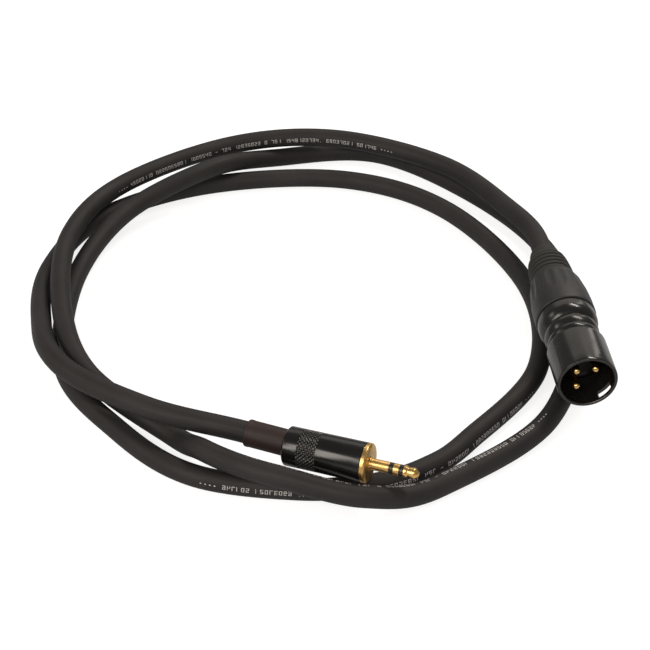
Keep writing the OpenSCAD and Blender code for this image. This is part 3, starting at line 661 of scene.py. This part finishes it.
grip = [(31.5, 9.9), (36.7, 9.9), (41.5, 9.65), (45.7, 9.07), (48.3, 8.73), (51.5, 7.7)]
bushing_outline = (
    [(nose_front, 5.8, 0), (nose_front, 7.1, 0.1)]
    + thread(24.4, 30.8, 1.5, nose_r, 0.5)
    + [(31.2, nose_r, 0), (bushing_front, nose_r, 0), (bushing_front, bushing_r, 0.45)]
    + [(grip_start + grip_step * k, between(grip, grip_start + grip_step * k), 0)
       for k in range(grip_steps)]
    + [(bushing_rear, 7.7, 0.35), (bushing_rear, tail_r, 0), (bushing_rear + tail_len, tail_r, 0)]
    + [(bushing_rear + tail_len, 4.3, 0), (46, 4.3, 0), (46, 4.7, 0), (41.5, 5.8, 0)]
)
bm = turned(bushing_outline, flutes * steps_per_flute)
for vert in bm.verts:
    out = vert.co.to_2d().length
    along = vert.co.z - bushing_front - flute_set
    if along <= 0 or out < flute_least_r:
        continue
    turn = math.atan2(vert.co.y, vert.co.x) * flutes / (2 * math.pi)
    turn = (turn - round(turn)) * 2 * math.pi / flutes
    middle = bushing_r + flute_r - flute_start_in - along * math.tan(flute_lean)
    inside = flute_r ** 2 - (middle * math.sin(turn)) ** 2
    if inside > 0:
        floor_r = middle * math.cos(turn) - math.sqrt(inside)
        if floor_r < out:
            vert.co.x *= floor_r / out
            vert.co.y *= floor_r / out
bmesh.ops.recalc_face_normals(bm, faces=bm.faces)
bm.transform(at_xlr)
bushing = new_piece(bm, "xlr_bushing_grip", moulded("black_satin_nylon", "#1c1a1a", 0.5),
                    "xlr_bushing", smooth_under=30)
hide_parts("xlr_bushing")

# ---- XLR boot ----
# Soft black rubber, moulded onto the bushing's tail, with five grooves that let it bend.
boot_start, boot_bore_r, boot_seat_end = 51.55, 5.25, 59.1
groove_start, groove_step, groove_w, groove_depth = 53.1, 2.16, 0.9, 0.5
boot_front_r, boot_flank = 7.4, 0.07
boot = [
    (boot_start, 7.6), (56.4, 7.3), (60.0, 7.0), (62.5, 6.6),
    (64.4, 5.5), (65.5, 5.2), (67.8, 4.9), (boot_end, 4.2),
]
boot_outline = [(boot_start, boot_bore_r, 0), (boot_start, 7.6, 0.3)]
for k in range(5):
    groove = groove_start + groove_step * k
    floor_r = boot_front_r - boot_flank * groove_step * k - groove_depth
    boot_outline += [
        (groove, between(boot, groove), 0.15), (groove + 0.1, floor_r, 0.1),
        (groove + 0.8, floor_r, 0.1), (groove + groove_w, between(boot, groove + groove_w), 0.15),
    ]
boot_outline += [
    (62.8, 6.5, 0.3), (64.4, 5.5, 0.5), (65.5, 5.2, 0.3), (67.8, 4.9, 0.4), (boot_end, 4.3, 0.3),
    (boot_end, 3.7, 0), (boot_seat_end, 3.7, 0), (boot_seat_end, boot_bore_r, 0),
]
bm = turned(boot_outline, 120)
bm.transform(at_xlr)
boot_piece = new_piece(
    bm, "xlr_boot_grooved", moulded("black_rubber", "#1e1d19", 0.7, 0.18, 0.35, 0.18),
    "xlr_bushing", smooth_under=50,
)
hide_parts("xlr_boot")

# ---- Stereo plug's barrel ----
# Turned brass with a gloss black coat. A band of diamond knurling is rolled in near its rear
# edge, and the rest is plain. The knurl's crests carry a painted highlight in a paler grey.
barrel_r = 6.0
barrel_len = 24.6
knurl_start, knurl_end = 4.8, 10.7
knurls = 30
knurl_pitch = 1.25
knurl_depth = 0.3
knurl_rings = 72
steps_per_knurl = 12
knurl_steepness = 1.4
# Crests above this share of the knurl's height get the painted highlight.
highlight_from = 0.6
barrel_bore_r, barrel_thread_r, barrel_thread_start = 5.45, 5.0, 17.6
barrel_outline = (
    [(0, barrel_bore_r, 0), (0, barrel_r - 0.4, 0.1), (0.4, barrel_r, 0.1)]
    + [(knurl_start - 0.05, barrel_r, 0)]
    + [(knurl_start + (knurl_end - knurl_start) * k / knurl_rings, barrel_r, 0)
       for k in range(knurl_rings + 1)]
    + [(knurl_end + 0.05, barrel_r, 0)]
    + [(barrel_len, barrel_r, 0.12), (barrel_len, barrel_thread_r, 0)]
    + [(barrel_thread_start, barrel_thread_r, 0), (barrel_thread_start, barrel_bore_r, 0)]
)
bm = turned(barrel_outline, knurls * steps_per_knurl)
raised = bm.verts.layers.float.new("raised")
for vert in bm.verts:
    out = vert.co.to_2d().length
    if out < barrel_r - 0.01 or not knurl_start <= vert.co.z <= knurl_end + 0.001:
        continue
    around = math.atan2(vert.co.y, vert.co.x) * knurls / (2 * math.pi)
    along = (vert.co.z - knurl_start) / knurl_pitch
    first, second = (abs((part + 0.5) % 1 - 0.5) * 2 for part in (around + along, around - along))
    height = min(1.0, knurl_steepness * min(first, second))
    vert[raised] = max(0.0, height - highlight_from) / (1 - highlight_from)
    cut = knurl_depth * (1 - height)
    vert.co.x *= (barrel_r - cut) / out
    vert.co.y *= (barrel_r - cut) / out
bmesh.ops.recalc_face_normals(bm, faces=bm.faces)
bm.transform(at_plug)
# 4a4642 is the colour of the painted highlight on the knurl's crests.
barrel_black = gloss_coat("gloss_black_coat_on_brass", "#0d0c0b", 0.22, 3.0, 0.06, "#4a4642")
barrel = new_piece(bm, "plug_barrel_knurled", barrel_black, "plug_barrel",
                   smooth_under=25)
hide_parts("plug_barrel")

# ---- Stereo plug's liner ----
# A clear tube that keeps the wires off the barrel, slightly hazy and rippled.
material, tree = new_material("clear_polypropylene")
place = add(tree, "ShaderNodeTexCoord")
haze = add(tree, "ShaderNodeTexNoise",
           {"Vector": place.outputs["Object"], "Scale": 400.0, "Detail": 3.0})
rough = add(tree, "ShaderNodeMapRange",
            {"Value": haze.outputs["Fac"], "To Min": 0.08, "To Max": 0.3})
bump = add(tree, "ShaderNodeBump",
           {"Height": haze.outputs["Fac"], "Strength": 0.2, "Distance": 0.00005})
shader = add(tree, "ShaderNodeBsdfPrincipled",
             {"Base Color": linear("#eef0f0"), "Roughness": rough.outputs["Result"],
              "Transmission Weight": 0.9, "IOR": 1.45, "Normal": bump.outputs[0]})
add(tree, "ShaderNodeOutputMaterial", {"Surface": shader.outputs[0]})
dress(material, "plug_liner")

# ---- Strain sleeve ----
# A length of soft black tube, shrunk onto the cable behind the plug. Its rear edge stands
# up a little.
sleeve_start, sleeve_bore_r, sleeve_r = 10.0, 3.45, 4.1
sleeve_outline = [
    (sleeve_start, sleeve_bore_r, 0), (sleeve_start, sleeve_r, 0.2),
    (strain_sleeve_end - 1.4, sleeve_r, 0.3), (strain_sleeve_end - 0.9, 4.22, 0.3),
    (strain_sleeve_end, 4.15, 0.25), (strain_sleeve_end, sleeve_bore_r, 0),
]
bm = turned(sleeve_outline, 96)
bm.transform(at_lead)
sleeve = new_piece(
    bm, "plug_shrunk_sleeve", soft_pvc("shrunk_black_tube", "#261916", "#33231f", 0.58),
    "root",
)
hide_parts("plug_strain_sleeve")

# ---- Clamp, lugs and terminal block ----
# The stamped clamp and lugs are gilt. The block that holds the lugs apart is ivory acetal.
dress(stamped_gilt, "plug_cable_clamp", "plug_tip_lug", "plug_ring_lug")
dress(moulded("ivory_acetal", "#ddd6c2", 0.4, 0.2, 0.15, 0.04), "plug_terminal_block")

# ---- Sleeve contact ----
# Turned from one piece of brass and gilt: a threaded body, a flange with a finely milled
# edge, a short hub and the shaft's longest part.
turned_gilt = gilt_brass("gilt_turned_brass", "#efc67e", 0.3, "turned")
flange_teeth = 72
flange_rows = 4
steps_per_tooth = 6
tooth_depth = 0.014
flange_start, flange_r, flange_t = 24.7, 6.0, 1.5
edge_start, edge_len, edge_foot_r, edge_height = 25.6, 0.6, 4.6, 1.4
hub_r, hub_end = 2.1, 26.6
shaft_r, shaft_bore_r, sleeve_contact_end = 1.75, 1.45, 32.2
body_start, body_bore_r, body_floor = 17.9, 3.15, 19.4
contact_outline = (
    [(body_start, body_bore_r, 0), (body_start, 4.75, 0.1)]
    + thread(17.95, 24.4, 0.75, 4.9, 0.28)
    + [(24.5, edge_foot_r, 0), (flange_start, edge_foot_r, 0), (flange_start, flange_r, 0.06)]
    + [(24.8 + 0.1 * k, flange_r, 0) for k in range(8)]
    + [(edge_start + edge_len * math.sin(math.radians(a)),
        edge_foot_r + edge_height * math.cos(math.radians(a)), 0) for a in range(10, 91, 10)]
    + [(26.2, 2.5, 0.15), (26.3, hub_r, 0.05), (hub_end, hub_r, 0.1), (hub_end, shaft_r, 0.1)]
    + [(sleeve_contact_end, shaft_r, 0.08), (sleeve_contact_end, shaft_bore_r, 0)]
    + [(body_floor, shaft_bore_r, 0), (body_floor, body_bore_r, 0)]
)
bm = turned(contact_outline, flange_teeth * steps_per_tooth)
for vert in bm.verts:
    out = vert.co.to_2d().length
    if out > 5.2 and 24.75 < vert.co.z < 26.1:
        around = flange_teeth * math.atan2(vert.co.y, vert.co.x)
        along = flange_rows * 2 * math.pi * (vert.co.z - flange_start) / flange_t
        tooth = tooth_depth * (1 - math.cos(around) * math.cos(along))
        vert.co.x *= (out - tooth) / out
        vert.co.y *= (out - tooth) / out
bm.transform(at_plug)
contact = new_piece(bm, "plug_sleeve_turned", turned_gilt, "root", smooth_under=30)
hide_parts("plug_sleeve_contact")

# ---- Ring contact ----
# A gilt band on the shaft, between two black rings, with its tube inside the shaft.
ring_start, ring_end = 33.5, 35.3
tube_start, tube_r, tube_bore_r = 15.25, 1.1, 0.85
ring_outline = [
    (tube_start, tube_bore_r, 0), (tube_start, tube_r, 0), (ring_start, tube_r, 0),
    (ring_start, shaft_r, 0.08), (ring_end, shaft_r, 0.08), (ring_end, tube_bore_r, 0),
]
bm = turned(ring_outline, 96)
bm.transform(at_plug)
ring_contact = new_piece(bm, "plug_ring_turned", turned_gilt, "root")
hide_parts("plug_ring_contact")

# ---- Tip contact ----
# A gilt rod with a waisted, blunt head, riveted at its rear.
rivet_start, rivet_end, rivet_r = 13.8, 14.1, 0.9
rod_r, tip_start, tip_end = 0.5, 36.6, 41.2
tip_outline = [
    (rivet_start, 0, 0), (rivet_start, rivet_r, 0.1), (rivet_end, rivet_r, 0),
    (rivet_end, rod_r, 0), (tip_start, rod_r, 0), (tip_start, shaft_r, 0.08),
    (37.5, shaft_r, 0.12), (37.85, 1.4, 0.15), (39.9, 1.66, 0.3), (tip_end, 0.6, 0.3),
    (tip_end, 0, 0),
]
bm = turned(tip_outline, 96, bored=False)
bm.transform(at_plug)
tip = new_piece(bm, "plug_tip_turned", turned_gilt, "root")
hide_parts("plug_tip_contact")

# ---- Insulating rings ----
# Black acetal rings that part the plug's three contacts.
dress(moulded("black_acetal", "#141313", 0.35, 0.2, 0.12),
      "plug_front_insulator", "plug_rear_insulator")

# ---- Floor and light ----
# A matt white table that glows a little, in an even white studio, under six soft lamps. The
# table and the studio are darker in reflections than they look.
bpy.context.scene.view_settings.view_transform = "Standard"
bm = bmesh.new()
bmesh.ops.create_grid(bm, x_segments=1, y_segments=1, size=6)
mesh = bpy.data.meshes.new("table")
bm.to_mesh(mesh)
bm.free()
table = bpy.data.objects.new("table", mesh)
bpy.context.scene.collection.objects.link(table)
white_table, tree = new_material("white_table")
path = add(tree, "ShaderNodeLightPath")
shown = add(tree, "ShaderNodeMath", {0: path.outputs["Is Camera Ray"],
                                     1: path.outputs["Is Glossy Ray"]}, operation="MAXIMUM")
shown = add(tree, "ShaderNodeMath", {0: shown.outputs[0],
                                     1: path.outputs["Is Transmission Ray"]}, operation="MAXIMUM")
white = add(tree, "ShaderNodeMix", data_type="RGBA")
white.inputs["A"].default_value = linear("#f2f2f2")
white.inputs["B"].default_value = linear("#9a9a9a")
tree.links.new(shown.outputs[0], white.inputs["Factor"])
reflected = add(tree, "ShaderNodeMapRange",
                {"Value": path.outputs["Is Glossy Ray"], "To Min": 0.8, "To Max": 0.3})
lift = add(tree, "ShaderNodeMath",
           {0: shown.outputs[0], 1: reflected.outputs["Result"]}, operation="MULTIPLY")
diffuse = add(tree, "ShaderNodeBsdfDiffuse", {"Color": white.outputs["Result"]})
glow = add(tree, "ShaderNodeEmission",
           {"Color": linear("#ffffff"), "Strength": lift.outputs[0]})
both = add(tree, "ShaderNodeAddShader", {0: diffuse.outputs[0], 1: glow.outputs[0]})
add(tree, "ShaderNodeOutputMaterial", {"Surface": both.outputs[0]})
mesh.materials.append(white_table)

world = bpy.data.worlds.new("studio")
bpy.context.scene.world = world
world.use_nodes = True
tree = world.node_tree
tree.nodes.clear()
path = add(tree, "ShaderNodeLightPath")
around = add(tree, "ShaderNodeMath", {0: path.outputs["Is Camera Ray"],
                                      1: path.outputs["Is Transmission Ray"]}, operation="MAXIMUM")
lit = add(tree, "ShaderNodeMapRange",
          {"Value": path.outputs["Is Glossy Ray"], "To Min": 0.45, "To Max": 0.22})
strength = add(tree, "ShaderNodeMix", data_type="FLOAT")
tree.links.new(around.outputs[0], strength.inputs["Factor"])
tree.links.new(lit.outputs["Result"], strength.inputs["A"])
strength.inputs["B"].default_value = 1.0
sky = add(tree, "ShaderNodeBackground",
          {"Color": linear("#ffffff"), "Strength": strength.outputs[0]})
add(tree, "ShaderNodeOutputWorld", {"Surface": sky.outputs[0]})


def softbox(name, location, target, size, power):
    """A soft rectangular lamp, aimed at a point."""
    lamp = bpy.data.lights.new(name, "AREA")
    lamp.shape = "RECTANGLE"
    lamp.size, lamp.size_y = size
    lamp.energy = power
    lamp.color = linear("#fff6ec")[:3]
    holder = bpy.data.objects.new(name, lamp)
    holder.location = location
    aim = Vector(target) - Vector(location)
    holder.rotation_euler = aim.to_track_quat("-Z", "Y").to_euler()
    bpy.context.scene.collection.objects.link(holder)


softbox("front_strip", (-0.15, -0.95, 0.8), (0, -0.05, 0), (0.9, 0.25), 5)
softbox("front_left_window", (-0.66, -0.6, 0.6), (0, -0.08, 0), (0.3, 0.6), 4)
softbox("back_card", (0.1, 1.3, 0.9), (0, 0, 0), (1.6, 0.7), 2.8)
softbox("back_right_strip", (0.72, 0.85, 0.49), (0.08, 0, 0), (0.12, 0.5), 0.6)
softbox("overhead", (0.5, 0.5, 1.0), (0.05, 0, 0), (0.6, 0.16), 6)
softbox("left_window", (-0.9, 0.1, 0.6), (0, 0, 0), (0.45, 0.16), 1.3)

bpy.context.view_layer.update()
